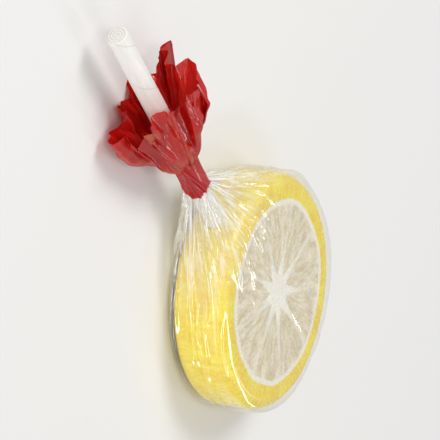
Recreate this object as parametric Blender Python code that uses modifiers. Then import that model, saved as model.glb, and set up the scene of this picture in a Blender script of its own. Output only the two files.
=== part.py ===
"""A wrapped lollipop like a slice of lemon, lying face up.

Metres, +Z up, and z = 0 is the surface that it lies on. The stick points along +X and the sweet's face looks
along +Z. The origin is on that surface, under the middle of the whole length. Every piece is modelled about
the middle of the sweet, and an empty there carries them all.
"""

import math

import bmesh
import bpy

MM = 0.001

# Sweet: a disc cut from a roll, so each colour runs through its thickness
SWEET_RADIUS = 17.0 * MM
SWEET_THICKNESS = 8.5 * MM
SWEET_EDGE_RADIUS = 2.0 * MM
FLESH_RADIUS = 12.6 * MM
PITH_WIDTH = 1.0 * MM
MEMBRANE_WIDTH = 0.7 * MM
SEGMENT_COUNT = 9
SEGMENT_CORNER = 0.55 * MM
LAYER_GAP = 0.2 * MM

# Stick: a solid rod pushed into the segment that faces +X
STICK_RADIUS = 1.5 * MM
STICK_DEPTH = 10.0 * MM
STICK_END = 58.0 * MM
STICK_CHAMFER = 0.2 * MM
STICK_GAP = 0.3 * MM

# Wrapper: one sheet, close round the sweet, gathered at the neck, spread again as a skirt
FILM = 0.35 * MM
FILM_GAP = 0.25 * MM
NECK_START = 25.0 * MM
NECK_END = 31.0 * MM
SKIRT_LENGTH = 14.0 * MM
SKIRT_CORNER = 2.6 * MM
SKIRT_HALF_WIDTH = 8.6 * MM
SKIRT_HALF_HEIGHT = 6.8 * MM
PLEAT_DEPTH = 0.4 * MM
FOLD_DEPTH = 1.9 * MM
FOLD_COUNT = 8
NECK_TWIST = math.radians(50)
SETTLE_SHARE = 0.985

# Fineness of the round shapes
RING_STEPS = 72
STICK_SIDES = 32
FILM_COLUMNS = 64
BOWL_RINGS = 13
CONE_RINGS = 5
NECK_RINGS = 2
SKIRT_RINGS = 9

WRAP_RADIUS = SWEET_RADIUS + FILM_GAP + FILM
WRAP_HALF_HEIGHT = SWEET_THICKNESS / 2 + FILM_GAP + FILM
NECK_RADIUS = STICK_RADIUS + STICK_GAP + FILM
SWEET_CENTRE = ((WRAP_RADIUS - STICK_END) / 2, 0.0, WRAP_HALF_HEIGHT)


def clear_file():
    for obj in list(bpy.data.objects):
        bpy.data.objects.remove(obj)


def new_collection(name):
    collection = bpy.data.collections.new(name)
    bpy.context.scene.collection.children.link(collection)
    return collection


def new_material(name, colour, roughness, transmission=0.0):
    material = bpy.data.materials.new(name)
    material.use_nodes = True
    shader = material.node_tree.nodes["Principled BSDF"]
    shader.inputs["Base Color"].default_value = (*colour, 1.0)
    shader.inputs["Roughness"].default_value = roughness
    shader.inputs["Metallic"].default_value = 0.0
    shader.inputs["Transmission Weight"].default_value = transmission
    return material


def add_piece(name, mesh, collection, parent, *materials):
    piece = bpy.data.objects.new(name, mesh)
    collection.objects.link(piece)
    piece.parent = parent
    for material in materials:
        mesh.materials.append(material)
    return piece


def arc(centre_x, centre_y, radius, start, end, steps):
    """Points of an arc, both ends included."""
    angles = [start + (end - start) * i / steps for i in range(steps + 1)]
    return [(centre_x + radius * math.cos(a), centre_y + radius * math.sin(a)) for a in angles]


def blend(low, high, value):
    """0 below low, 1 above high, and smooth between."""
    t = min(max((value - low) / (high - low), 0.0), 1.0)
    return t * t * (3 - 2 * t)


def extruded(outlines, thickness):
    """A flat plate in the XY plane. The outlines after the first are holes in it."""
    curve = bpy.data.curves.new("outline", "CURVE")
    curve.dimensions = "2D"
    curve.fill_mode = "BOTH"
    curve.extrude = thickness / 2
    for outline in outlines:
        spline = curve.splines.new("POLY")
        spline.points.add(len(outline) - 1)
        for point, (x, y) in zip(spline.points, outline):
            point.co = (x, y, 0.0, 1.0)
        spline.use_cyclic_u = True
    plate = bpy.data.objects.new("outline", curve)
    bpy.context.scene.collection.objects.link(plate)
    graph = bpy.context.evaluated_depsgraph_get()
    mesh = bpy.data.meshes.new_from_object(plate.evaluated_get(graph))
    bpy.data.objects.remove(plate)
    bm = bmesh.new()
    bm.from_mesh(mesh)
    bmesh.ops.remove_doubles(bm, verts=bm.verts, dist=0.001 * MM)
    bmesh.ops.recalc_face_normals(bm, faces=bm.faces)
    bm.to_mesh(mesh)
    bm.free()
    return mesh


def segment_outline(turn, grow):
    """One wedge of flesh with round corners, grown all round by a distance."""
    half = math.pi / SEGMENT_COUNT
    corner = SEGMENT_CORNER + grow
    inset = MEMBRANE_WIDTH / 2 + SEGMENT_CORNER
    reach = FLESH_RADIUS - SEGMENT_CORNER
    tip = inset / math.sin(half)
    swing = half - math.asin(inset / reach)
    side = half + math.pi / 2
    corner_x = reach * math.cos(swing)
    corner_y = reach * math.sin(swing)
    outline = arc(0.0, 0.0, reach + corner, -swing, swing, 8)
    outline += arc(corner_x, corner_y, corner, swing, side, 4)[1:]
    outline += arc(tip, 0.0, corner, side, 2 * math.pi - side, 4)
    outline += arc(corner_x, -corner_y, corner, -side, -swing, 4)[:-1]
    cos_t = math.cos(turn)
    sin_t = math.sin(turn)
    return [(x * cos_t - y * sin_t, x * sin_t + y * cos_t) for x, y in outline]


def segment_turns():
    return [2 * math.pi * i / SEGMENT_COUNT for i in range(SEGMENT_COUNT)]


def cut(piece, cutter):
    modifier = piece.modifiers.new("stick hole", "BOOLEAN")
    modifier.operation = "DIFFERENCE"
    modifier.object = cutter


def add_stick_cutter(collection, parent):
    """The room that the stick takes in the sweet, a little wider and deeper than the stick."""
    start = SWEET_RADIUS - STICK_DEPTH - STICK_GAP
    length = SWEET_RADIUS + FILM_GAP - start
    mesh = rod_mesh("stick room", STICK_RADIUS + STICK_GAP, start, length, 0.0)
    cutter = add_piece("stick_room", mesh, collection, parent)
    cutter.hide_render = True
    cutter.display_type = "WIRE"
    return cutter


def rod_mesh(name, radius, start, length, chamfer):
    """A rod along +X whose far end has a small chamfer."""
    mesh = bpy.data.meshes.new(name)
    bm = bmesh.new()
    bmesh.ops.create_cone(bm, cap_ends=True, segments=STICK_SIDES, radius1=radius, radius2=radius,
                          depth=length)
    if chamfer:
        rim = [e for e in bm.edges if all(v.co.z > 0 for v in e.verts)]
        bmesh.ops.bevel(bm, geom=rim, offset=chamfer, segments=1, affect="EDGES", profile=0.5, material=-1)
    for vert in bm.verts:
        along = vert.co.z + length / 2
        vert.co = (start + along, vert.co.x, vert.co.y)
    bm.to_mesh(mesh)
    bm.free()
    mesh.shade_smooth()
    mesh.set_sharp_from_angle(angle=math.radians(35))
    return mesh


def add_stick(collection, parent):
    start = SWEET_RADIUS - STICK_DEPTH
    mesh = rod_mesh("stick", STICK_RADIUS, start, STICK_END - start, STICK_CHAMFER)
    white = new_material("white stick", (0.86, 0.85, 0.82), 0.45)
    return add_piece("stick", mesh, collection, parent, white)


def add_jacket(collection, parent, cutter):
    """The yellow ring, turned from its section: straight inside, round edges outside."""
    half = SWEET_THICKNESS / 2
    inner = FLESH_RADIUS + PITH_WIDTH + LAYER_GAP
    edge_x = SWEET_RADIUS - SWEET_EDGE_RADIUS
    edge_z = half - SWEET_EDGE_RADIUS
    section = [(inner, half)]
    section += arc(edge_x, edge_z, SWEET_EDGE_RADIUS, math.pi / 2, 0.0, 5)
    section += arc(edge_x, -edge_z, SWEET_EDGE_RADIUS, 0.0, -math.pi / 2, 5)
    section += [(inner, -half)]
    edges = [(i, (i + 1) % len(section)) for i in range(len(section))]
    mesh = bpy.data.meshes.new("jacket")
    mesh.from_pydata([(x, 0.0, z) for x, z in section], edges, [])
    yellow = new_material("lemon yellow boiled sugar", (0.90, 0.66, 0.05), 0.25)
    jacket = add_piece("jacket", mesh, collection, parent, yellow)
    turn = jacket.modifiers.new("turn", "SCREW")
    turn.steps = RING_STEPS
    turn.render_steps = RING_STEPS
    turn.use_merge_vertices = True
    turn.merge_threshold = 0.001 * MM
    turn.use_smooth_shade = True
    cut(jacket, cutter)
    return jacket


def add_pith(collection, parent, cutter):
    """The white wheel: ring, membranes and middle, with a window for each segment."""
    rim = arc(0.0, 0.0, FLESH_RADIUS + PITH_WIDTH, 0.0, 2 * math.pi, RING_STEPS)[:-1]
    windows = [segment_outline(turn, LAYER_GAP) for turn in segment_turns()]
    white = new_material("white boiled sugar", (0.88, 0.84, 0.74), 0.3)
    pith = add_piece("pith", extruded([rim] + windows, SWEET_THICKNESS), collection, parent, white)
    cut(pith, cutter)
    return pith


def add_segments(collection, parent, cutter):
    flesh = new_material("pale translucent boiled sugar", (0.80, 0.74, 0.50), 0.2, 0.3)
    for number, turn in enumerate(segment_turns(), start=1):
        mesh = extruded([segment_outline(turn, 0.0)], SWEET_THICKNESS)
        segment = add_piece(f"segment_{number}", mesh, collection, parent, flesh)
        if turn == 0.0:
            cut(segment, cutter)


def wrap_half_width(x):
    """Half width of the wrapper across the face: the disc's circle, then straight to the neck."""
    distance = math.hypot(NECK_START, NECK_RADIUS)
    angle = math.acos(WRAP_RADIUS / distance) + math.atan2(NECK_RADIUS, NECK_START)
    leave_x = WRAP_RADIUS * math.cos(angle)
    if x <= leave_x:
        return math.sqrt(max(WRAP_RADIUS ** 2 - x ** 2, 0.0))
    leave_y = WRAP_RADIUS * math.sin(angle)
    share = min((x - leave_x) / (NECK_START - leave_x), 1.0)
    return leave_y + (NECK_RADIUS - leave_y) * share


def wrap_half_height(x):
    """Half height of the wrapper at mid width: round far edge, flat face, then straight to the neck."""
    edge = SWEET_EDGE_RADIUS + FILM_GAP + FILM
    edge_x = WRAP_RADIUS - edge
    if x < -edge_x:
        return WRAP_HALF_HEIGHT - edge + math.sqrt(max(edge ** 2 - (x + edge_x) ** 2, 0.0))
    if x <= edge_x:
        return WRAP_HALF_HEIGHT
    share = min((x - edge_x) / (NECK_START - edge_x), 1.0)
    return WRAP_HALF_HEIGHT + (NECK_RADIUS - WRAP_HALF_HEIGHT) * share


def squareness(x):
    """Exponent of the section's outline: 2 is an ellipse, 12 a box with round corners."""
    far_end = 3.0
    over_disc = 12.0
    at_neck = 2.0
    rise = blend(-WRAP_RADIUS, -0.6 * WRAP_RADIUS, x)
    fall = blend(0.45 * WRAP_RADIUS, 0.9 * NECK_START, x)
    return far_end + (over_disc - far_end) * rise + (at_neck - over_disc) * fall


def unit_section(angle, exponent):
    """Point on the outline |y|^n + |z|^n = 1 in the direction of an angle from +Z."""
    y = math.sin(angle)
    z = math.cos(angle)
    reach = (abs(y) ** exponent + abs(z) ** exponent) ** (-1 / exponent)
    return y * reach, z * reach


def column_angles():
    """Directions of the film's columns, closer together over the two wide faces."""
    steps = [2 * math.pi * i / FILM_COLUMNS for i in range(FILM_COLUMNS)]
    return [t - 0.2 * math.sin(2 * t) for t in steps]


def body_ring(x, angles):
    """A ring over the sweet or the cone, with fine pleats that begin at the sweet's near edge."""
    width = wrap_half_width(x)
    height = wrap_half_height(x)
    exponent = squareness(x)
    start = SWEET_RADIUS - SWEET_EDGE_RADIUS
    deepest = (start + NECK_START) / 2
    pleat = PLEAT_DEPTH * blend(start, deepest, x) * (1 - blend(deepest, NECK_START, x))
    ring = []
    for angle in angles:
        y, z = unit_section(angle, exponent)
        ripple = pleat * math.cos(2 * FOLD_COUNT * angle) * (1 - abs(y) ** 4)
        ring.append((x, width * y, (height - abs(ripple)) * z))
    return ring


def skirt_ring(share, angles):
    """A ring of the skirt, from the neck at 0 to the hem at 1, pressed flat on the surface below."""
    flare = share ** 0.7
    half_width = NECK_RADIUS + (SKIRT_HALF_WIDTH - NECK_RADIUS) * flare
    half_top = NECK_RADIUS + (SKIRT_HALF_HEIGHT - NECK_RADIUS) * flare
    half_bottom = min(half_top, WRAP_HALF_HEIGHT)
    fold = FOLD_DEPTH * blend(0.0, 0.8, share)
    ring = []
    for angle in angles:
        wander = 0.9 * math.sin(angle + 0.4) + 0.6 * math.sin(2 * angle + 1.3)
        wave = 0.5 + 0.5 * math.cos(FOLD_COUNT * angle + wander)
        inward = 1 - wave * fold / half_width
        turned = angle + NECK_TWIST
        corner = 1 / max(abs(math.cos(turned)), abs(math.sin(turned))) - 1
        length = SKIRT_LENGTH + SKIRT_CORNER * corner / (math.sqrt(2) - 1) * math.cos(0.5 * angle) ** 2
        length += 0.7 * MM * math.cos(3 * angle + 1.0) - 0.8 * MM * wave
        y = half_width * inward * math.sin(turned)
        z = inward * math.cos(turned)
        z *= half_top if z > 0 else half_bottom
        ring.append((NECK_END + length * share, y, z))
    return ring


def neck_ring(share, angles):
    x = NECK_START + (NECK_END - NECK_START) * share
    turn = NECK_TWIST * share
    return [(x, NECK_RADIUS * math.sin(a + turn), NECK_RADIUS * math.cos(a + turn)) for a in angles]


def wrapper_rings():
    """The film's sections in order, from the edge of the sweet that is furthest from the stick."""
    angles = column_angles()
    even = [2 * math.pi * i / FILM_COLUMNS for i in range(FILM_COLUMNS)]
    leave = math.acos(WRAP_RADIUS / NECK_START)
    rings = []
    for i in range(1, BOWL_RINGS + 1):
        swing = (math.pi - leave) * i / BOWL_RINGS
        rings.append(body_ring(-WRAP_RADIUS * math.cos(swing), angles))
    start = WRAP_RADIUS * math.cos(leave)
    for i in range(1, CONE_RINGS):
        share = i / CONE_RINGS
        eased = [a + (e - a) * share for a, e in zip(angles, even)]
        rings.append(body_ring(start + (NECK_START - start) * share, eased))
    for i in range(NECK_RINGS + 1):
        rings.append(neck_ring(i / NECK_RINGS, even))
    for i in range(1, SKIRT_RINGS + 1):
        rings.append(skirt_ring(i / SKIRT_RINGS, even))
    return rings


def settled(point):
    """A point of the film, put flat on the surface below if it is within a hair of it."""
    x, y, z = point
    if z < SETTLE_SHARE * -WRAP_HALF_HEIGHT:
        z = -WRAP_HALF_HEIGHT
    return x, y, z


def add_wrapper(collection, parent):
    """The film as one open bag, lofted through its sections and thickened inward."""
    bm = bmesh.new()
    rings = [[bm.verts.new(settled(point)) for point in ring] for ring in wrapper_rings()]
    pole = bm.verts.new((-WRAP_RADIUS, 0.0, 0.0))
    count = FILM_COLUMNS
    for i in range(count):
        bm.faces.new((pole, rings[0][i], rings[0][(i + 1) % count]))
    for before, after in zip(rings, rings[1:]):
        for i in range(count):
            j = (i + 1) % count
            bm.faces.new((before[i], after[i], after[j], before[j]))
    bm.normal_update()
    for face in bm.faces:
        face.material_index = 1 if face.calc_center_median().x > NECK_START else 0
        face.smooth = True
    mesh = bpy.data.meshes.new("wrapper")
    bm.to_mesh(mesh)
    bm.free()
    clear = new_material("clear film", (0.95, 0.95, 0.95), 0.1, 0.9)
    red = new_material("film printed red", (0.55, 0.02, 0.02), 0.2, 0.4)
    wrapper = add_piece("wrapper", mesh, collection, parent, clear, red)
    shell = wrapper.modifiers.new("film", "SOLIDIFY")
    shell.thickness = FILM
    shell.offset = -1.0
    shell.use_even_offset = True
    return wrapper


def main():
    clear_file()
    lollipop = new_collection("lollipop")
    cutters = new_collection("cutters")
    centre = bpy.data.objects.new("sweet_centre", None)
    centre.location = SWEET_CENTRE
    lollipop.objects.link(centre)
    cutter = add_stick_cutter(cutters, centre)
    add_stick(lollipop, centre)
    add_jacket(lollipop, centre, cutter)
    add_pith(lollipop, centre, cutter)
    add_segments(lollipop, centre, cutter)
    add_wrapper(lollipop, centre)


main()
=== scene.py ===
import math
import random

import bmesh
import bpy
import numpy as np
from mathutils import Matrix, Vector, noise
from mathutils.geometry import delaunay_2d_cdt


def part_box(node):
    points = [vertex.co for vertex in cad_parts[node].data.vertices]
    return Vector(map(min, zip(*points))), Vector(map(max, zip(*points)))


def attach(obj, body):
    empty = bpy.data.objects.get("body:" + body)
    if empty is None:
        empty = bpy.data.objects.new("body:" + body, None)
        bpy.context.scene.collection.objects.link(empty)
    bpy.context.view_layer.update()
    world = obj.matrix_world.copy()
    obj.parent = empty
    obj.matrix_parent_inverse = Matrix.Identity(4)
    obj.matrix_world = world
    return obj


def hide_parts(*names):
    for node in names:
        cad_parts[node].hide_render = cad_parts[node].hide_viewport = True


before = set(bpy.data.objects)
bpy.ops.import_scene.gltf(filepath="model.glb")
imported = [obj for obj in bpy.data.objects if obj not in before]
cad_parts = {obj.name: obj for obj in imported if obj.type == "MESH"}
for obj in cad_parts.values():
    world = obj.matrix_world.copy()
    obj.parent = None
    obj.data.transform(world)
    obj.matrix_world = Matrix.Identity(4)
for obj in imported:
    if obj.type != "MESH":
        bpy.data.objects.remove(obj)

MM = 0.001
FULL_TURN = 2 * math.pi
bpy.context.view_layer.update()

# Places and sizes that the frame gives
SWEET_LOW, SWEET_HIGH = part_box("jacket")
PITH_LOW, PITH_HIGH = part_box("pith")
STICK_LOW, STICK_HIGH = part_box("stick")
WRAP_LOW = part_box("wrapper")[0]
SEGMENTS = sorted(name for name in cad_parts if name.startswith("segment_"))
SECTOR = FULL_TURN / len(SEGMENTS)
CENTRE = (SWEET_LOW + SWEET_HIGH) / 2
SWEET_RADIUS = (SWEET_HIGH.x - SWEET_LOW.x) / 2
SWEET_HALF = (SWEET_HIGH.z - SWEET_LOW.z) / 2
PITH_RADIUS = (PITH_HIGH.x - PITH_LOW.x) / 2
STICK_RADIUS = (STICK_HIGH.y - STICK_LOW.y) / 2
WRAP_RADIUS = CENTRE.x - WRAP_LOW.x
WRAP_HALF = CENTRE.z - WRAP_LOW.z

# Sweet, as the solids have it
EDGE_RADIUS = 2.0 * MM
EDGE_REACH = SWEET_RADIUS - EDGE_RADIUS
EDGE_HEIGHT = SWEET_HALF - EDGE_RADIUS
PITH_WIDTH = 1.0 * MM
FLESH_RADIUS = PITH_RADIUS - PITH_WIDTH
MEMBRANE_WIDTH = 0.7 * MM

# Sweet's low relief: where the flesh begins to sink and is fully sunk, from a membrane's middle, from the
# hub's and before the ring. Waves are counted to the metre, and an outline's share is of the radius
FLESH_DROP = 0.07 * MM
FLESH_PAST_MEMBRANE = (0.3 * MM, 0.7 * MM)
FLESH_PAST_HUB = (2.0 * MM, 3.2 * MM)
FLESH_BEFORE_RING = 0.4 * MM
RELIEF_BEGINS = 0.9 * EDGE_HEIGHT
FACE_WAVE_HEIGHT = 0.06 * MM
FACE_WAVES = 160
OUTLINE_SWELL_SHARE = 0.006
OUTLINE_SWELLS_ROUND = 1.7
OUTLINE_RIPPLE_SHARE = 0.002
OUTLINE_RIPPLES = 420

# Fineness of the sweet and the stick
FACE_STEPS = 64
EDGE_STEPS = 12
WALL_STEPS = 10
SWEET_SIDES = 256
STICK_SIDES = 96
STICK_ROUNDING = 0.18 * MM
STICK_ROUNDING_STEPS = 3
STICK_SHARP_FROM = math.radians(40)

# Wrapper, as the solids have it
FILM_MIDDLE = 0.15 * MM
GATHER_START = 20 * MM
NECK_START = 25.0 * MM
NECK_END = 31.0 * MM
SKIRT_LENGTH = 14.0 * MM
SKIRT_CORNER = 2.6 * MM
SKIRT_HALF_WIDTH = 8.6 * MM
SKIRT_HALF_HEIGHT = 6.8 * MM
FLARE_POWER = 0.7
FOLD_DEPTH = 1.9 * MM
FOLD_COUNT = 8
FOLD_ROUND, FOLD_SHARP = 0.3, 0.7
FOLD_DEEPEST_AT = 0.8
NECK_TWIST = math.radians(50)
NECK_RADIUS = STICK_RADIUS + 0.45 * MM
NECK_PINCH = 0.25 * MM

# Squareness of the film's section: 2 is an ellipse, and a large number is nearly a rectangle. It grows over the
# far end, and falls again from a share of the film's radius to a share of the way to the neck
FAR_SQUARENESS = 3.0
MIDDLE_SQUARENESS = 12.0
NECK_SQUARENESS = 2.0
FAR_END_SHARE = 0.6
ROUNDER_FROM = 0.45
ROUNDER_TO = 0.9

# Room left between the film and what it wraps or lies on
SWEET_CLEARANCE = 0.14 * MM
STICK_CLEARANCE = 0.08 * MM
FLOOR_CLEARANCE = 0.02 * MM

# Waves round the film: how many, how high and where they begin in radians
PRINT_WAVES = ((3, 0.35, 1.0), (11, 0.18, 0.0), (23, 0.12, 0.0), (41, 0.08, 2.0))
FOLD_WANDER = ((1, 0.9, 0.4), (2, 0.6, 1.3))
PRINT_SHIFT = -0.3 * MM
PRINT_SHIFT_END = 29 * MM
HEM_WAVES, HEM_WAVE_HEIGHT, HEM_WAVE_BEGIN = 3, 0.7 * MM, 1.0
HEM_NOTCH = 1.6 * MM

# Creases that run lengthwise: how many, their height, the first and the last place where one begins, and the
# length over which it grows, in millimetres; on the skirt, places are counted from the neck's end
PLEATS = ((34, 0.5, -12, 10, 12), (76, 0.4, 4, 15, 7), (130, 0.22, 9, 18, 4))
CREST_SHARES = (-0.35, 1.0)
VALLEY_SHARES = (-1.0, 0.0)
PLEATS_AT_NECK = 0.6
PLEATS_ON_SKIRT = 0.3
SKIRT_CREASES = ((26, 1.6, 0, 2, 7), (60, 0.5, -1, 2, 5))
SKIRT_CREASES_GROWN = NECK_END + 6 * MM

# Crumpling: where it begins, how many facets round and along the film, and how high their corners are in
# millimetres, at even places from its beginning to its end
FAR_EDGE = -17.4 * MM
TAUT_FACETS = ((FAR_EDGE, 30, 5, (0.1, 0.2, 0.24, 0.34, 0.42, 0.0)),
               (0.0, 72, 6, (0.0, 0.1, 0.16, 0.26, 0.26, 0.0)))
FINE_FACETS = (FAR_EDGE, 64, 9, (0.04, 0.09, 0.1, 0.1, 0.06, 0.0))
SKIRT_FACETS = ((NECK_END, 30, 3, (0.0, 0.5, 0.9, 1.0)),
                (NECK_END, 84, 7, (0.05, 0.18, 0.26)))

# Long folds over the sweet's rim: place round the film in degrees, beginning and height in millimetres
LONG_FOLDS = ((82, -8, 0.45), (90, -3, 0.38), (98, -10, 0.42), (61, 0, 0.4), (119, -1, 0.4),
              (261, -9, 0.42), (271, -4, 0.4), (279, -7, 0.45), (300, 1, 0.4), (242, 0, 0.4))
LONG_FOLD_HALF_WIDTH = 3.0
LONG_FOLD_GROWTH = 8
LONG_FOLD_FADE = (11 * MM, 21 * MM)

# Gentle unevenness of the film
RIPPLE_COUNT = 14
RIPPLE_HEIGHT = 0.06 * MM
RIPPLE_LENGTHS = (5 * MM, 14 * MM)

# Fineness of the film, and the seeds of its creases
FILM_COLUMNS = 360
COLUMN_CROWDING = 0.2
BOWL_ROWS = 104
CONE_ROWS = 40
NECK_ROWS = 18
SKIRT_ROWS = 92
PRINT_ROW = BOWL_ROWS + CONE_ROWS - 1
FILM_SEED = 11
FINE_SEED = 5

# Smallest numbers that others are divided by, how far a point may be outside its triangle, and how close two
# points of a mesh are to be made one
LEAST_NORMAL = 1e-12
LEAST = 1e-9
NEARLY = 1e-6
ONE_POINT = 0.0005 * MM

# Studio: each lamp has its place, width and height in metres, and power in watts. Each is high, or so low that
# no usual view meets its mirror image in the flat top of the film
WORLD_STRENGTH = 0.43
FLOOR_HALF_SIZE = 2.0
LAMPS = {"key": ((0.33, -0.33, 0.56), 0.30, 0.30, 2.6),
         "front panel": ((0.44, 0.27, 0.50), 0.10, 0.30, 0.9),
         "front strip": ((0.60, 0.34, 0.03), 0.36, 0.05, 0.5),
         "side strip": ((0.14, 0.60, 0.035), 0.42, 0.06, 1.0),
         "back strip": ((-0.46, -0.10, 0.48), 0.03, 0.40, 0.4),
         "far strip": ((-0.36, 0.34, 0.48), 0.40, 0.03, 0.5)}

# Camera at the photo's viewing angle: degrees round, up and of roll, metres away, and lens in millimetres
TARGET = Vector((CENTRE.x + 12.0 * MM, -3.2 * MM, CENTRE.z - 2.2 * MM))
CAMERA_AZIMUTH = 123
CAMERA_ELEVATION = 27
CAMERA_ROLL = 97
CAMERA_DISTANCE = 0.5
CAMERA_LENS = 290
CAMERA_CLIP = 0.01

# Settings and inputs of shader nodes; a Mix node's inputs go by number, because several share a name
SMOOTH = {"interpolation_type": "SMOOTHSTEP"}
MIX_SHARE = 0
NUMBER_A, NUMBER_B = 2, 3
COLOUR_A, COLOUR_B = 6, 7
WHITE = (1.0, 1.0, 1.0, 1.0)


def linear(hex_colour):
    """An sRGB hex colour as the linear colour that shaders take."""
    channels = [int(hex_colour[i:i + 2], 16) / 255 for i in (1, 3, 5)]
    return [c / 12.92 if c <= 0.04045 else ((c + 0.055) / 1.055) ** 2.4 for c in channels] + [1.0]


def new_material(name):
    """An empty material and its node tree."""
    material = bpy.data.materials.new(name)
    material.use_nodes = True
    material.node_tree.nodes.clear()
    return material, material.node_tree


def add(tree, kind, inputs, **settings):
    """Add a shader node with its settings; an input is a number, a colour, a socket or another node."""
    made = tree.nodes.new("ShaderNode" + kind)
    for name, value in settings.items():
        setattr(made, name, value)
    for key, value in inputs.items() if isinstance(inputs, dict) else enumerate(inputs):
        if isinstance(value, bpy.types.Node):
            value = next(socket for socket in value.outputs if socket.enabled)
        if isinstance(value, bpy.types.NodeSocket):
            tree.links.new(value, made.inputs[key])
        else:
            made.inputs[key].default_value = value
    return made


def millimetres_from(tree, origin):
    """The place on the piece in millimetres, counted from a point of the frame."""
    place = add(tree, "TexCoord", {}).outputs["Object"]
    scale = 1 / MM
    shift = [-scale * c for c in origin]
    return add(tree, "Mapping", {"Vector": place, "Location": shift, "Scale": (scale, scale, scale)})


def slice_white(tree, angle, reach):
    """How white the slice is: its star, the thin walls between its segments and the ring round them."""
    hub_solid, hub_edge = 1.0, 2.6
    arm_half_width, arm_reach = 1.25, 6.2
    wall_share_drawn = 0.7
    wall_half_width = wall_share_drawn * MEMBRANE_WIDTH / 2 / MM
    wall_widens_from, wall_end_half_width = 10.0, 0.5
    wall_inner_edge, wall_outer_edge = -0.18, 0.28
    wall_fades_from, wall_faded_at, wall_faded = 2.5, 9.0, 0.42
    ring_from, ring_to, ring_white = FLESH_RADIUS / MM - 0.1, FLESH_RADIUS / MM + 0.3, 0.85

    turns = add(tree, "Math", (angle, SECTOR), operation="DIVIDE")
    share = add(tree, "Math", (turns,), operation="FRACT")
    signed = add(tree, "Math", (share, 0.5), operation="SUBTRACT")
    off_membrane = add(tree, "Math", (signed,), operation="ABSOLUTE")
    arc_share = add(tree, "Math", (off_membrane, SECTOR), operation="MULTIPLY")
    across = add(tree, "Math", (arc_share, reach), operation="MULTIPLY")
    near_hub = add(tree, "MapRange", (reach, 0.0, arm_reach, arm_half_width, wall_half_width), **SMOOTH)
    near_ring = add(tree, "MapRange", (reach, wall_widens_from, FLESH_RADIUS / MM, wall_half_width,
                                       wall_end_half_width), **SMOOTH)
    width = add(tree, "Math", (near_hub, near_ring), operation="MAXIMUM")
    past_edge = add(tree, "Math", (across, width), operation="SUBTRACT")
    wall = add(tree, "MapRange", (past_edge, wall_inner_edge, wall_outer_edge, 1.0, 0.0), **SMOOTH)
    strength = add(tree, "MapRange", (reach, wall_fades_from, wall_faded_at, 1.0, wall_faded), **SMOOTH)
    membrane = add(tree, "Math", (wall, strength), operation="MULTIPLY")
    ring = add(tree, "MapRange", (reach, ring_from, ring_to, 0.0, ring_white), **SMOOTH)
    hub = add(tree, "MapRange", (reach, hub_solid, hub_edge, 1.0, 0.0), **SMOOTH)
    star = add(tree, "Math", (membrane, hub), operation="MAXIMUM")
    return add(tree, "Math", (star, ring), operation="MAXIMUM")


def pulled_place(tree, place):
    """The place in the slice's plane, which pulling leaves up to half a millimetre off, over some 6 mm."""
    wander_per_mm = 0.16
    in_plane = (1.0, 1.0, 0.0)
    wander = add(tree, "TexNoise", {"Vector": place, "Scale": wander_per_mm, "Detail": 1.5}).outputs["Color"]
    offset = add(tree, "VectorMath", (wander, (0.5, 0.5, 0.5)), operation="SUBTRACT")
    pulled = add(tree, "VectorMath", (offset, in_plane, place), operation="MULTIPLY_ADD")
    return add(tree, "VectorMath", (pulled, in_plane), operation="MULTIPLY")


def flesh_look(tree, place, angle, reach, height):
    """The flesh's colour and its trapped bubbles, some 0.2 mm across."""
    # Its threads run out from the middle, and are about a millimetre wide near the ring
    threads_per_radian, threads_per_mm, thread_scale, thread_contrast = 9.0, 0.3, 1.5, (0.32, 0.68)
    bubbles_per_mm, bubble_edge, bubble_strength = 1.5, (0.05, 0.16), 0.5
    thread_turn = add(tree, "Math", (angle, threads_per_radian), operation="MULTIPLY")
    thread_reach = add(tree, "Math", (reach, threads_per_mm), operation="MULTIPLY")
    thread_place = add(tree, "CombineXYZ", (thread_turn, thread_reach, height))
    threads = add(tree, "TexNoise",
                  {"Vector": thread_place, "Scale": thread_scale, "Detail": 4.0, "Roughness": 0.6})
    thread_share = add(tree, "MapRange", (threads, *thread_contrast, 0.0, 1.0), **SMOOTH)
    bubbles = add(tree, "TexVoronoi", {"Vector": place, "Scale": bubbles_per_mm, "Randomness": 1.0})
    bubble = add(tree, "MapRange", (bubbles, *bubble_edge, 1.0, 0.0), **SMOOTH)
    bubble_share = add(tree, "Math", (bubble, bubble_strength), operation="MULTIPLY")
    flesh = add(tree, "Mix", {MIX_SHARE: thread_share, COLOUR_A: linear("#d5c7a2"),
                              COLOUR_B: linear("#f4ebd3")}, data_type="RGBA")
    flesh = add(tree, "Mix", {MIX_SHARE: bubble_share, COLOUR_A: flesh,
                              COLOUR_B: linear("#f4ecd2")}, data_type="RGBA")
    return flesh, bubble


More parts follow.
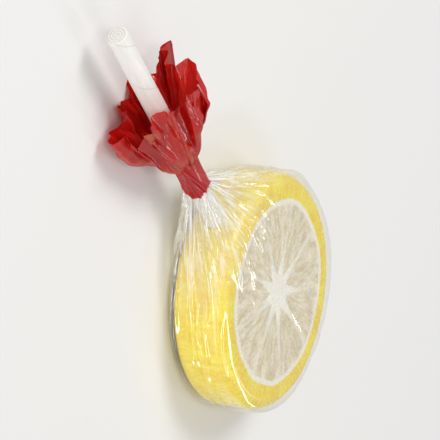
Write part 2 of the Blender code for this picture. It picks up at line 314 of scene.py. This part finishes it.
def jacket_look(tree, place, flat, height):
    """The jacket's colour, its satin lines, half a millimetre apart, and its clouds, some 2.5 mm wide."""
    lines_per_mm, line_change_per_mm, clouds_per_mm = 2.0, 0.07, 0.4
    lines_share, satin_contrast = 0.55, (0.36, 0.64)
    outwards = add(tree, "VectorMath", (flat,), operation="NORMALIZE")
    lines_place = add(tree, "VectorMath", (outwards, (SWEET_RADIUS / MM,) * 3), operation="MULTIPLY")
    lines_lift = add(tree, "Math", (height, line_change_per_mm), operation="MULTIPLY")
    lines_height = add(tree, "CombineXYZ", (0.0, 0.0, lines_lift))
    lines_place = add(tree, "VectorMath", (lines_place, lines_height), operation="ADD")
    lines = add(tree, "TexNoise",
                {"Vector": lines_place, "Scale": lines_per_mm, "Detail": 3.0, "Roughness": 0.6})
    cloud = add(tree, "TexNoise", {"Vector": place, "Scale": clouds_per_mm, "Detail": 4.0})
    satin = add(tree, "Mix", {MIX_SHARE: lines_share, NUMBER_A: cloud, NUMBER_B: lines}, data_type="FLOAT")
    satin_share = add(tree, "MapRange", (satin, *satin_contrast, 0.0, 1.0), **SMOOTH)
    yellow = add(tree, "Mix", {MIX_SHARE: satin_share, COLOUR_A: linear("#f2d21c"),
                               COLOUR_B: linear("#fae74a")}, data_type="RGBA")
    return yellow, lines, cloud


def boiled_sugar_slice():
    """Boiled sugar pulled into a patterned roll and cut: coloured through, glossy and a little see-through."""
    material, tree = new_material("boiled sugar cut from a lemon roll")
    place = millimetres_from(tree, CENTRE)
    flat = pulled_place(tree, place)
    reach = add(tree, "VectorMath", (flat,), operation="LENGTH")
    axes = add(tree, "SeparateXYZ", (flat,))
    angle = add(tree, "Math", (axes.outputs["Y"], axes.outputs["X"]), operation="ARCTAN2")
    height = add(tree, "SeparateXYZ", (place,)).outputs["Z"]
    white = slice_white(tree, angle, reach)
    flesh, bubble = flesh_look(tree, place, angle, reach, height)
    yellow, lines, cloud = jacket_look(tree, place, flat, height)
    jacket_from, jacket_to = PITH_RADIUS / MM - 0.3, PITH_RADIUS / MM
    jacket = add(tree, "MapRange", (reach, jacket_from, jacket_to, 0.0, 1.0), **SMOOTH)
    pith = add(tree, "Mix", {MIX_SHARE: cloud, COLOUR_A: linear("#f6efdc"),
                             COLOUR_B: linear("#fffdf6")}, data_type="RGBA")
    colour = add(tree, "Mix", {MIX_SHARE: white, COLOUR_A: flesh, COLOUR_B: pith}, data_type="RGBA")
    colour = add(tree, "Mix", {MIX_SHARE: jacket, COLOUR_A: colour, COLOUR_B: yellow}, data_type="RGBA")

    # Surface: glossy and finely uneven, with a grain of about half a millimetre
    grain_per_mm, grain_contrast, roughness = 2.2, (0.3, 0.75), (0.18, 0.36)
    grain_relief, bubble_relief, relief_depth = 0.5, -0.6, 0.05 * MM
    grain = add(tree, "TexNoise", {"Vector": place, "Scale": grain_per_mm, "Detail": 3.0})
    rough = add(tree, "MapRange", (grain, *grain_contrast, *roughness), **SMOOTH)
    line_relief = add(tree, "Math", (lines, jacket), operation="MULTIPLY")
    relief = add(tree, "Math", (grain, grain_relief, line_relief), operation="MULTIPLY_ADD")
    relief = add(tree, "Math", (bubble, bubble_relief, relief), operation="MULTIPLY_ADD")
    bump = add(tree, "Bump", {"Height": relief, "Distance": relief_depth, "Strength": 0.6})
    shader = add(tree, "BsdfPrincipled",
                 {"Base Color": colour, "Roughness": rough, "IOR": 1.5, "Normal": bump,
                  "Subsurface Weight": 0.6, "Subsurface Radius": (1.0, 0.95, 0.35),
                  "Subsurface Scale": 1.2 * MM, "Coat Weight": 0.25, "Coat Roughness": 0.1})
    add(tree, "OutputMaterial", {"Surface": shader})
    return material


def paper_marks(tree, place):
    """Lines where the rolled paper's layers show on the cut end, and where its outer edge winds round."""
    axes = add(tree, "SeparateXYZ", (place,))
    section = add(tree, "VectorMath", (place, (0.0, 1.0, 1.0)), operation="MULTIPLY")
    reach = add(tree, "VectorMath", (section,), operation="LENGTH")
    angle = add(tree, "Math", (axes.outputs["Z"], axes.outputs["Y"]), operation="ARCTAN2")
    turn = add(tree, "Math", (angle, FULL_TURN), operation="DIVIDE")

    # The paper's layers are a spiral on the cut end, drawn three times as coarse as real ones to show
    layer_thickness, layer_line_share, layer_dark = 0.4, 0.5, 0.5
    end_from, end_to = -0.08, -0.02
    layer = add(tree, "Math", (reach, 1 / layer_thickness, turn), operation="MULTIPLY_ADD")
    layer_share = add(tree, "Math", (layer,), operation="FRACT")
    layer_line = add(tree, "MapRange", (layer_share, 0.0, layer_line_share, layer_dark, 0.0), **SMOOTH)
    at_end = add(tree, "MapRange", (axes.outputs["X"], end_from, end_to, 0.0, 1.0), **SMOOTH)
    end_line = add(tree, "Math", (layer_line, at_end), operation="MULTIPLY")

    # The paper's outer edge winds round the rod once in 9 mm
    seam_pitch, seam_line_share, seam_dark = 9.0, 0.04, 0.3
    along = add(tree, "Math", (axes.outputs["X"], 1 / seam_pitch, turn), operation="MULTIPLY_ADD")
    seam_share = add(tree, "Math", (along,), operation="FRACT")
    seam = add(tree, "MapRange", (seam_share, 0.0, seam_line_share, seam_dark, 0.0), **SMOOTH)
    off_end = add(tree, "Math", (1.0, at_end), operation="SUBTRACT")
    seam_line = add(tree, "Math", (seam, off_end), operation="MULTIPLY")

    return add(tree, "Math", (end_line, seam_line), operation="MAXIMUM")


def rolled_paper():
    """White paper rolled tight into a rod: matt, with fine lengthwise fibres and its layers at the cut end."""
    material, tree = new_material("white rolled paper")
    place = millimetres_from(tree, (STICK_HIGH.x, CENTRE.y, CENTRE.z))
    marks = paper_marks(tree, place)

    # Fibres a third of a millimetre wide and eight times as long
    fibres_per_mm, fibre_stretch = 3.2, 0.12
    stretched = add(tree, "Mapping", {"Vector": place, "Scale": (fibre_stretch, 1.0, 1.0)})
    fibre = add(tree, "TexNoise", {"Vector": stretched, "Scale": fibres_per_mm, "Detail": 4.0})
    paper = add(tree, "Mix", {MIX_SHARE: fibre, COLOUR_A: linear("#dcd9d2"),
                              COLOUR_B: linear("#f1efeb")}, data_type="RGBA")
    colour = add(tree, "Mix", {MIX_SHARE: marks, COLOUR_A: paper,
                               COLOUR_B: linear("#9a9283")}, data_type="RGBA")
    fibre_relief, relief_depth = 0.5, 0.04 * MM
    relief = add(tree, "Math", (fibre, fibre_relief), operation="MULTIPLY")
    relief = add(tree, "Math", (relief, marks), operation="SUBTRACT")
    bump = add(tree, "Bump", {"Height": relief, "Distance": relief_depth, "Strength": 0.6})
    shader = add(tree, "BsdfPrincipled",
                 {"Base Color": colour, "Roughness": 0.5, "Normal": bump, "Subsurface Weight": 0.15,
                  "Subsurface Scale": 0.4 * MM})
    add(tree, "OutputMaterial", {"Surface": shader})
    return material


def glossy_film(tree, body, head_on, edge_on, roughness):
    """Put a film's gloss on its body, the same from both sides: little head on, much of it edge on."""
    steepness = 4.5
    facing = add(tree, "LayerWeight", {"Blend": 0.5}).outputs["Facing"]
    steep = add(tree, "Math", (facing, steepness), operation="POWER")
    shine_share = add(tree, "Math", (steep, edge_on - head_on, head_on), operation="MULTIPLY_ADD")
    shine = add(tree, "BsdfPrincipled", {"Base Color": WHITE, "Metallic": 1.0, "Roughness": roughness})
    surface = add(tree, "MixShader", (shine_share, body, shine))
    add(tree, "OutputMaterial", {"Surface": surface})


def painted_streaks_to_neck(tree):
    """Uneven streaks of painted highlight that run together at the neck, about half a millimetre wide at the
    sweet's edge.
    """
    past_neck_start = 1.5 * MM
    streaks_per_radian, change_per_mm, streaks_per_mm_high = 22.0, 0.09, 0.9
    place = millimetres_from(tree, (CENTRE.x + NECK_START + past_neck_start, CENTRE.y, CENTRE.z))
    axes = add(tree, "SeparateXYZ", (place,))
    back = add(tree, "Math", (axes.outputs["X"], -1.0), operation="MULTIPLY")
    angle = add(tree, "Math", (axes.outputs["Y"], back), operation="ARCTAN2")
    turn = add(tree, "Math", (angle, streaks_per_radian), operation="MULTIPLY")
    along = add(tree, "Math", (back, change_per_mm), operation="MULTIPLY")
    height = add(tree, "Math", (axes.outputs["Z"], streaks_per_mm_high), operation="MULTIPLY")
    streak_place = add(tree, "CombineXYZ", (turn, along, height))
    return add(tree, "TexNoise", {"Vector": streak_place, "Scale": 1.0, "Detail": 3.0, "Roughness": 0.65})


def clear_film():
    """Cast film a few hundredths of a millimetre thick: clear and sharply glossy, with a painted white sheen
    where it is gathered that stands for the glints of its folds.
    """
    material, tree = new_material("clear crackly film")
    flat_until, flat_painted_sheen, gathered_painted_sheen = 9.0, 0.02, 0.6
    streak_contrast, streak_strength = (0.4, 0.66), (0.25, 1.6)
    place = millimetres_from(tree, CENTRE)
    along = add(tree, "SeparateXYZ", (place,)).outputs["X"]
    # Painted sheen: white is mixed into the film towards the neck and in streaks, for the glints of its many
    # gathered folds.
    gathered = add(tree, "MapRange", (along, flat_until, NECK_START / MM, flat_painted_sheen, gathered_painted_sheen), **SMOOTH)
    streak = add(tree, "MapRange", (painted_streaks_to_neck(tree), *streak_contrast, *streak_strength), **SMOOTH)
    painted_sheen = add(tree, "Math", (gathered, streak), operation="MULTIPLY")
    through = add(tree, "BsdfTransparent", {"Color": (0.99, 0.99, 0.99, 1.0)})
    painted_white = add(tree, "BsdfPrincipled", {"Base Color": linear("#fdfdfc"), "Roughness": 0.35})
    body = add(tree, "MixShader", (painted_sheen, through, painted_white))
    glossy_film(tree, body, head_on=0.09, edge_on=0.8, roughness=0.08)
    return material


def red_film():
    """The same film printed with a see-through cherry red: deep where folds lie over each other."""
    material, tree = new_material("film printed cherry red")
    ink_share, ink_clouds_per_mm = 0.74, 0.5
    place = millimetres_from(tree, CENTRE)
    grain = add(tree, "TexNoise", {"Vector": place, "Scale": ink_clouds_per_mm, "Detail": 3.0})
    ink = add(tree, "Mix", {MIX_SHARE: grain, COLOUR_A: linear("#ac100c"),
                            COLOUR_B: linear("#d92018")}, data_type="RGBA")
    through = add(tree, "BsdfTransparent", {"Color": linear("#e6322a")})
    printed = add(tree, "BsdfPrincipled", {"Base Color": ink, "Roughness": 0.3, "Specular IOR Level": 0.15})
    body = add(tree, "MixShader", (ink_share, through, printed))
    glossy_film(tree, body, head_on=0.065, edge_on=0.3, roughness=0.11)
    return material


def finish_piece(name, bm, *materials):
    """Make an object of a bmesh, in the frame's own coordinates, smooth shaded."""
    mesh = bpy.data.meshes.new(name)
    bm.to_mesh(mesh)
    bm.free()
    for material in materials:
        mesh.materials.append(material)
    mesh.shade_smooth()
    piece = bpy.data.objects.new(name, mesh)
    bpy.context.scene.collection.objects.link(piece)
    return piece


def eased(low, high, value):
    """A smooth passage from 0 to 1 between two bounds, for a number or a whole array."""
    t = np.minimum(np.maximum((value - low) / (high - low), 0.0), 1.0)
    return t * t * (3 - 2 * t)


def membrane_distance(x, y):
    """How far a point of the face lies from the nearest membrane's middle."""
    share = (math.atan2(y, x) / SECTOR) % 1.0
    return abs(share - 0.5) * SECTOR * math.hypot(x, y)


def sweet_section():
    """Half of the disc's section as reach and height, from the upper face's middle to the lower one's."""
    face = [(EDGE_REACH * i / FACE_STEPS, SWEET_HALF) for i in range(FACE_STEPS)]
    turns = [math.pi / 2 * (1 - i / EDGE_STEPS) for i in range(EDGE_STEPS + 1)]
    edge = [(EDGE_REACH + EDGE_RADIUS * math.cos(a), EDGE_HEIGHT + EDGE_RADIUS * math.sin(a)) for a in turns]
    wall = [(SWEET_RADIUS, EDGE_HEIGHT * (1 - i / WALL_STEPS)) for i in range(1, WALL_STEPS)]
    upper = face + edge + wall
    return upper + [(SWEET_RADIUS, 0.0)] + [(r, -z) for r, z in reversed(upper)]


def wave_sweet(vert):
    """Make a point of the disc a little uneven, and a hair lower where it lies in the flesh."""
    x, y, z = vert.co
    reach = math.hypot(x, y)
    on_face = eased(RELIEF_BEGINS, SWEET_HALF, abs(z))
    flesh = eased(*FLESH_PAST_MEMBRANE, membrane_distance(x, y))
    flesh *= eased(*FLESH_PAST_HUB, reach)
    flesh *= 1 - eased(FLESH_RADIUS - FLESH_BEFORE_RING, FLESH_RADIUS, reach)
    wave = noise.noise(vert.co * FACE_WAVES) * FACE_WAVE_HEIGHT
    side = 1 if z > 0 else -1
    vert.co.z += side * on_face * (wave - FLESH_DROP * flesh)
    if reach > EDGE_REACH:
        outwards = Vector((x, y, 0)) / reach
        swell = OUTLINE_SWELL_SHARE * noise.noise(outwards * OUTLINE_SWELLS_ROUND)
        swell += OUTLINE_RIPPLE_SHARE * noise.noise(vert.co * OUTLINE_RIPPLES)
        share = (reach - EDGE_REACH) / EDGE_RADIUS
        vert.co.x *= 1 + swell * share
        vert.co.y *= 1 + swell * share


def make_sweet(material):
    """The disc, turned from its section, with the flesh a hair lower than the white."""
    bm = bmesh.new()
    verts = [bm.verts.new((r, 0.0, z)) for r, z in sweet_section()]
    edges = [bm.edges.new(pair) for pair in zip(verts, verts[1:])]
    bmesh.ops.spin(bm, geom=verts + edges, cent=(0, 0, 0), axis=(0, 0, 1), angle=FULL_TURN,
                   steps=SWEET_SIDES, use_merge=True)
    bmesh.ops.remove_doubles(bm, verts=bm.verts, dist=ONE_POINT)
    for vert in bm.verts:
        wave_sweet(vert)
    bmesh.ops.translate(bm, verts=bm.verts, vec=CENTRE)
    bmesh.ops.recalc_face_normals(bm, faces=bm.faces)
    piece = finish_piece("sweet", bm, material)
    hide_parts("jacket", "pith", *SEGMENTS)
    return piece


def make_stick(material):
    """The stick, with a finely rounded cut end."""
    length = STICK_HIGH.x - STICK_LOW.x
    bm = bmesh.new()
    bmesh.ops.create_cone(bm, cap_ends=True, segments=STICK_SIDES, radius1=STICK_RADIUS,
                          radius2=STICK_RADIUS, depth=length)
    rims = [e for e in bm.edges if abs(e.verts[0].co.z - e.verts[1].co.z) < 0.5 * length]
    bmesh.ops.bevel(bm, geom=rims, offset=STICK_ROUNDING, segments=STICK_ROUNDING_STEPS, affect="EDGES",
                    profile=0.5, material=-1)
    middle = (STICK_LOW + STICK_HIGH) / 2
    for vert in bm.verts:
        vert.co = (middle.x + vert.co.z, middle.y + vert.co.x, middle.z + vert.co.y)
    piece = finish_piece("paper_stick", bm, material)
    piece.data.set_sharp_from_angle(angle=STICK_SHARP_FROM)
    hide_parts("stick")
    return piece


def creases(columns, along, origin, sizes, draw):
    """Creases that run lengthwise: sharp at uneven columns, each beginning at its own place along the film."""
    count, height, first, last, growth = sizes
    knots = np.sort(np.array([draw.random() for _ in range(count)])) * FULL_TURN
    shares = [draw.uniform(*(CREST_SHARES if i % 2 else VALLEY_SHARES)) for i in range(count)]
    heights = height * MM * np.array(shares)
    begins = np.array([draw.uniform(origin + first * MM, origin + last * MM) for _ in range(count)])
    field = np.empty((len(along), len(columns)))
    for row, place in enumerate(along):
        grown = heights * eased(begins, begins + growth * MM, place)
        field[row] = np.interp(columns, knots, grown, period=FULL_TURN)
    return field


def long_folds(columns, along):
    """A few long rounded folds, a millimetre or so wide, that the film has over the sweet's rim."""
    field = np.zeros((len(along), len(columns)))
    for angle, begin, height in LONG_FOLDS:
        off = np.clip((np.degrees(columns) - angle) / LONG_FOLD_HALF_WIDTH, -1, 1)
        crest = np.cos(off * math.pi / 2) ** 2
        grown = eased(begin * MM, (begin + LONG_FOLD_GROWTH) * MM, along) * (1 - eased(*LONG_FOLD_FADE, along))
        field += np.outer(height * MM * grown, crest)
    return field


def facet_corners(around, down, heights, draw):
    """Random corners of facets in an uneven grid, some repeated past the seam, and how far each one rises."""
    margin, jitter_round, jitter_along = 3, (0.05, 0.95), 0.45
    points, rises = [], []
    for i in range(down + 1):
        inner = 0 < i < down
        reach = np.interp(i / down, np.linspace(0, 1, len(heights)), [height * MM for height in heights])
        for j in range(around):
            x = j + draw.uniform(*jitter_round)
            y = i + draw.uniform(-jitter_along, jitter_along) * inner
            rise = draw.uniform(-1.0, 1.0) * reach
            for turn in (-around, 0, around):
                if -margin < x + turn < around + margin:
                    points.append(Vector((x + turn, y)))
                    rises.append(rise)
    return points, rises


def facets(columns, along, end, sizes, draw):
    """Crumpling: random points joined in triangles, so that flat facets meet in sharp ridges."""
    start, around, down, heights = sizes
    points, rises = facet_corners(around, down, heights, draw)
    corners, _, triangles, origins, _, _ = delaunay_2d_cdt(points, [], [], 0, NEARLY)

    x = columns * around / FULL_TURN
    y = (along - start) / (end - start) * down
    field = np.zeros((len(along), len(columns)))
    for triangle in triangles:
        (ax, ay), (bx, by), (cx, cy) = (corners[i] for i in triangle)
        a, b, c = (rises[origins[i][0]] for i in triangle)
        area = (bx - ax) * (cy - ay) - (cx - ax) * (by - ay)
        held_x = np.flatnonzero((x >= min(ax, bx, cx)) & (x <= max(ax, bx, cx)))
        held_y = np.flatnonzero((y >= min(ay, by, cy)) & (y <= max(ay, by, cy)))
        if abs(area) < LEAST or not len(held_x) or not len(held_y):
            continue
        px, py = np.meshgrid(x[held_x] - ax, y[held_y] - ay)
        to_b = (px * (cy - ay) - (cx - ax) * py) / area
        to_c = ((bx - ax) * py - px * (by - ay)) / area
        inside = (to_b >= -NEARLY) & (to_c >= -NEARLY) & (to_b + to_c <= 1 + NEARLY)
        block = np.ix_(held_y, held_x)
        field[block] = np.where(inside, a + (b - a) * to_b + (c - a) * to_c, field[block])
    return field


def ripples(points, draw):
    """A gentle unevenness: a few waves in random directions."""
    field = np.zeros(points.shape[:2])
    for _ in range(RIPPLE_COUNT):
        direction = np.array([draw.gauss(0, 1) for _ in range(3)])
        direction *= FULL_TURN / draw.uniform(*RIPPLE_LENGTHS) / np.linalg.norm(direction)
        field += np.sin(points @ direction + draw.uniform(0, FULL_TURN))
    return field * RIPPLE_HEIGHT / math.sqrt(RIPPLE_COUNT)


def waves_round(columns, table):
    """Waves round the film, added up."""
    return sum(height * np.sin(count * columns + begin) for count, height, begin in table)


def wrap_sizes(x):
    """Half width, half height and squareness of the film's section, at each place along the stick's axis."""
    radius = WRAP_RADIUS - FILM_MIDDLE
    height = WRAP_HALF - FILM_MIDDLE
    angle = math.acos(radius / math.hypot(NECK_START, NECK_RADIUS)) + math.atan2(NECK_RADIUS, NECK_START)
    leave_x = radius * math.cos(angle)
    leave_y = radius * math.sin(angle)
    round_width = np.sqrt(np.clip(radius ** 2 - x ** 2, 0, None))
    share = np.clip((x - leave_x) / (NECK_START - leave_x), 0, 1)
    half_width = np.where(x <= leave_x, round_width, leave_y + (NECK_RADIUS - leave_y) * share)

    edge = EDGE_RADIUS + WRAP_RADIUS - SWEET_RADIUS
    edge_x = radius - edge
    past = np.clip(-x - edge_x, 0, edge)
    far_height = height - edge + np.sqrt(edge ** 2 - past ** 2)
    fall = np.clip((x - edge_x) / (NECK_START - edge_x), 0, 1)
    half_height = np.where(x < 0, far_height, height + (NECK_RADIUS - height) * fall)

    squarer = eased(-radius, -FAR_END_SHARE * radius, x)
    rounder = eased(ROUNDER_FROM * radius, ROUNDER_TO * NECK_START, x)
    square = FAR_SQUARENESS + (MIDDLE_SQUARENESS - FAR_SQUARENESS) * squarer
    square -= (MIDDLE_SQUARENESS - NECK_SQUARENESS) * rounder
    return half_width, half_height, square


def body_rows(columns):
    """The film over the sweet and down to the neck, its columns closer together over the rim."""
    radius = WRAP_RADIUS - FILM_MIDDLE
    leave = math.acos(radius / NECK_START)
    bowl = -radius * np.cos(np.linspace(0, math.pi - leave, BOWL_ROWS))
    cone = np.linspace(bowl[-1], NECK_START, CONE_ROWS + 1)[1:]
    x = np.concatenate([bowl, cone])
    closer = columns - COLUMN_CROWDING * np.sin(2 * columns)
    to_even = np.clip((x - bowl[-1]) / (NECK_START - bowl[-1]), 0, 1)[:, None]
    angle = closer + (columns - closer) * to_even
    half_width, half_height, square = (size[:, None] for size in wrap_sizes(x))
    y = np.sin(angle)
    z = np.cos(angle)
    reach = (np.abs(y) ** square + np.abs(z) ** square) ** (-1 / square)
    along = np.broadcast_to(x[:, None], angle.shape)
    return np.stack([along, half_width * y * reach, half_height * z * reach], axis=2)


def neck_rows(columns):
    """The film gathered round the stick: tightest half way along, and twisted."""
    share = np.linspace(0, 1, NECK_ROWS + 1)[1:, None]
    radius = NECK_RADIUS - NECK_PINCH * np.sin(math.pi * share)
    angle = columns + NECK_TWIST * share
    along = np.broadcast_to(NECK_START + (NECK_END - NECK_START) * share, angle.shape)
    return np.stack([along, radius * np.sin(angle), radius * np.cos(angle)], axis=2)


def skirt_rows(columns):
    """The film below the neck, spread in uneven folds and pressed flat on the surface that it lies on."""
    share = np.linspace(0, 1, SKIRT_ROWS + 1)[1:, None]
    flare = share ** FLARE_POWER
    half_width = NECK_RADIUS + (SKIRT_HALF_WIDTH - NECK_RADIUS) * flare
    half_top = NECK_RADIUS + (SKIRT_HALF_HEIGHT - NECK_RADIUS) * flare
    half_bottom = np.minimum(half_top, WRAP_HALF)
    fold = FOLD_COUNT * columns + waves_round(columns, FOLD_WANDER)
    round_wave = 0.5 + 0.5 * np.cos(fold)
    sharp_wave = 1 - np.arccos(np.cos(fold)) / math.pi
    wave = FOLD_ROUND * round_wave + FOLD_SHARP * sharp_wave
    inward = 1 - wave * FOLD_DEPTH * eased(0.0, FOLD_DEEPEST_AT, share) / half_width
    turned = columns + NECK_TWIST
    corner = 1 / np.maximum(np.abs(np.cos(turned)), np.abs(np.sin(turned))) - 1
    length = SKIRT_LENGTH + SKIRT_CORNER * corner / (math.sqrt(2) - 1) * np.cos(0.5 * columns) ** 2
    length = length + HEM_WAVE_HEIGHT * np.cos(HEM_WAVES * columns + HEM_WAVE_BEGIN) - HEM_NOTCH * wave
    y = half_width * inward * np.sin(turned)
    z = inward * np.cos(turned)
    z = z * np.where(z > 0, half_top, half_bottom)
    return np.stack([NECK_END + length * share, y, z], axis=2)


def outward(points):
    """Unit normals of a rolled-up grid of points, pointing out of the bag."""
    down = np.gradient(points, axis=0)
    ring = points[:, :-1]
    round_about = (np.roll(ring, -1, axis=1) - np.roll(ring, 1, axis=1)) / 2
    round_about = np.concatenate([round_about, round_about[:, :1]], axis=1)
    normal = np.cross(down, round_about)
    size = np.linalg.norm(normal, axis=2, keepdims=True)
    return normal / np.maximum(size, LEAST_NORMAL)


def outside_sweet(points):
    """Distance of each point from the sweet's surface, positive outside."""
    reach = np.hypot(points[..., 0], points[..., 1]) - EDGE_REACH
    rise = np.abs(points[..., 2]) - EDGE_HEIGHT
    corner = np.hypot(np.clip(reach, 0, None), np.clip(rise, 0, None))
    return corner + np.minimum(np.maximum(reach, rise), 0) - EDGE_RADIUS


def film_lift(columns, along, points):
    """How far pleats, folds and crumpling raise each point of the plain film."""
    draw = random.Random(FILM_SEED)
    on_body = 1 - eased(GATHER_START, NECK_START, along)
    on_skirt = eased(NECK_END, SKIRT_CREASES_GROWN, along)
    at_neck = 1 - on_body - on_skirt
    pleats = sum(creases(columns, along, 0.0, sizes, draw) for sizes in PLEATS)
    taut = sum(facets(columns, along, NECK_START, sizes, draw) for sizes in TAUT_FACETS)
    taut += facets(columns, along, NECK_START, FINE_FACETS, random.Random(FINE_SEED))
    taut += long_folds(columns, along)
    folds = sum(creases(columns, along, NECK_END, sizes, draw) for sizes in SKIRT_CREASES)
    for sizes in SKIRT_FACETS:
        folds += facets(columns, along, along[-1], sizes, draw)

    lift = pleats * (on_body + PLEATS_AT_NECK * at_neck + PLEATS_ON_SKIRT * on_skirt)[:, None] + taut
    lift += folds * on_skirt[:, None]
    lift += ripples(points, draw)
    lift[:, -1] = lift[:, 0]
    return lift


def film_points():
    """Every point of the film, about the sweet's middle: the plain form, then its pleats, folds and creases."""
    columns = np.linspace(0, FULL_TURN, FILM_COLUMNS + 1)
    points = np.concatenate([body_rows(columns), neck_rows(columns), skirt_rows(columns)])
    along = points[:, :, 0].mean(axis=1)

    # The gathering pulls the edge of the red print about
    at_print = eased(GATHER_START, NECK_START, along) * (1 - eased(NECK_START, PRINT_SHIFT_END, along))
    points[..., 0] += np.outer(at_print, PRINT_SHIFT + waves_round(columns, PRINT_WAVES) * MM)
    normal = outward(points)
    points = points + normal * film_lift(columns, along, points)[..., None]

    # The film stays clear of the sweet, the stick and the floor
    inside = np.clip(SWEET_CLEARANCE - outside_sweet(points), 0, None)
    points = points + normal * inside[..., None]
    radial = np.hypot(points[..., 1], points[..., 2])
    least = STICK_RADIUS + STICK_CLEARANCE
    too_close = (points[..., 0] > GATHER_START) & (radial < least)
    grow = np.where(too_close, least / np.maximum(radial, LEAST), 1.0)
    points[..., 1:] *= grow[..., None]
    points[..., 2] = np.clip(points[..., 2], FLOOR_CLEARANCE - WRAP_HALF, None)

    # Its two long edges meet, and so do the upper and lower halves of its first row
    points[:, -1] = points[:, 0]
    points[0] = (points[0] + points[0, ::-1]) / 2
    return points


def make_film(clear, red):
    """One sheet of film: a grid rolled into a bag, closed along the sweet's far edge and open at the hem."""
    points = film_points() + np.array(CENTRE)
    rows, columns = points.shape[:2]
    bm = bmesh.new()
    bmesh.ops.create_grid(bm, x_segments=columns - 1, y_segments=rows - 1, size=1.0)
    bm.verts.ensure_lookup_table()
    for face in bm.faces:
        row = (face.calc_center_median().y + 1) / 2 * (rows - 1)
        face.material_index = 1 if row > PRINT_ROW else 0
    for vert in bm.verts:
        column = round((vert.co.x + 1) / 2 * (columns - 1))
        row = round((vert.co.y + 1) / 2 * (rows - 1))
        vert.co = points[row, column]
    bmesh.ops.remove_doubles(bm, verts=bm.verts, dist=ONE_POINT)
    bmesh.ops.reverse_faces(bm, faces=bm.faces)
    piece = finish_piece("film", bm, clear, red)
    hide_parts("wrapper")
    return piece


def add_lamp(name, place, width, height, power):
    """A flat lamp turned to the target, seen in reflections but not by the camera."""
    lamp = bpy.data.lights.new(name, "AREA")
    lamp.shape = "RECTANGLE"
    lamp.size = width
    lamp.size_y = height
    lamp.energy = power
    holder = bpy.data.objects.new(name, lamp)
    holder.location = place
    holder.rotation_euler = (TARGET - Vector(place)).to_track_quat("-Z", "Y").to_euler()
    holder.visible_camera = False
    bpy.context.scene.collection.objects.link(holder)


def add_studio():
    """An even white surround, a matt pale floor and the lamps."""
    world = bpy.data.worlds.new("studio")
    world.use_nodes = True
    background = world.node_tree.nodes["Background"]
    background.inputs["Color"].default_value = WHITE
    background.inputs["Strength"].default_value = WORLD_STRENGTH
    bpy.context.scene.world = world

    bm = bmesh.new()
    bmesh.ops.create_grid(bm, x_segments=1, y_segments=1, size=FLOOR_HALF_SIZE)
    material, tree = new_material("matt pale paper sweep")
    shader = add(tree, "BsdfPrincipled", {"Base Color": linear("#e9e8e6"), "Roughness": 0.8})
    add(tree, "OutputMaterial", {"Surface": shader})
    floor = finish_piece("floor", bm, material)
    for name, (place, width, height, power) in LAMPS.items():
        add_lamp(name, place, width, height, power)


def add_camera():
    """A camera on a sphere round the target, turned about its own view by a roll."""
    turn = math.radians(CAMERA_AZIMUTH)
    lift = math.radians(CAMERA_ELEVATION)
    away = Vector((math.cos(lift) * math.sin(turn), -math.cos(lift) * math.cos(turn), math.sin(lift)))
    camera = bpy.data.cameras.new("camera")
    camera.lens = CAMERA_LENS
    camera.clip_start = CAMERA_CLIP
    holder = bpy.data.objects.new("camera", camera)
    holder.location = TARGET + away * CAMERA_DISTANCE
    facing = (-away).to_track_quat("-Z", "Y").to_matrix().to_4x4()
    facing @= Matrix.Rotation(math.radians(CAMERA_ROLL), 4, "Z")
    holder.rotation_euler = facing.to_euler()
    bpy.context.scene.collection.objects.link(holder)
    bpy.context.scene.camera = holder


def main():
    """Make the three pieces, which ride on the one body, and the studio round them."""
    sweet = make_sweet(boiled_sugar_slice())
    stick = make_stick(rolled_paper())
    film = make_film(clear_film(), red_film())
    for piece in (sweet, stick, film):
        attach(piece, "root")
    add_studio()
    add_camera()
    bpy.context.scene.view_settings.view_transform = "Standard"


main()
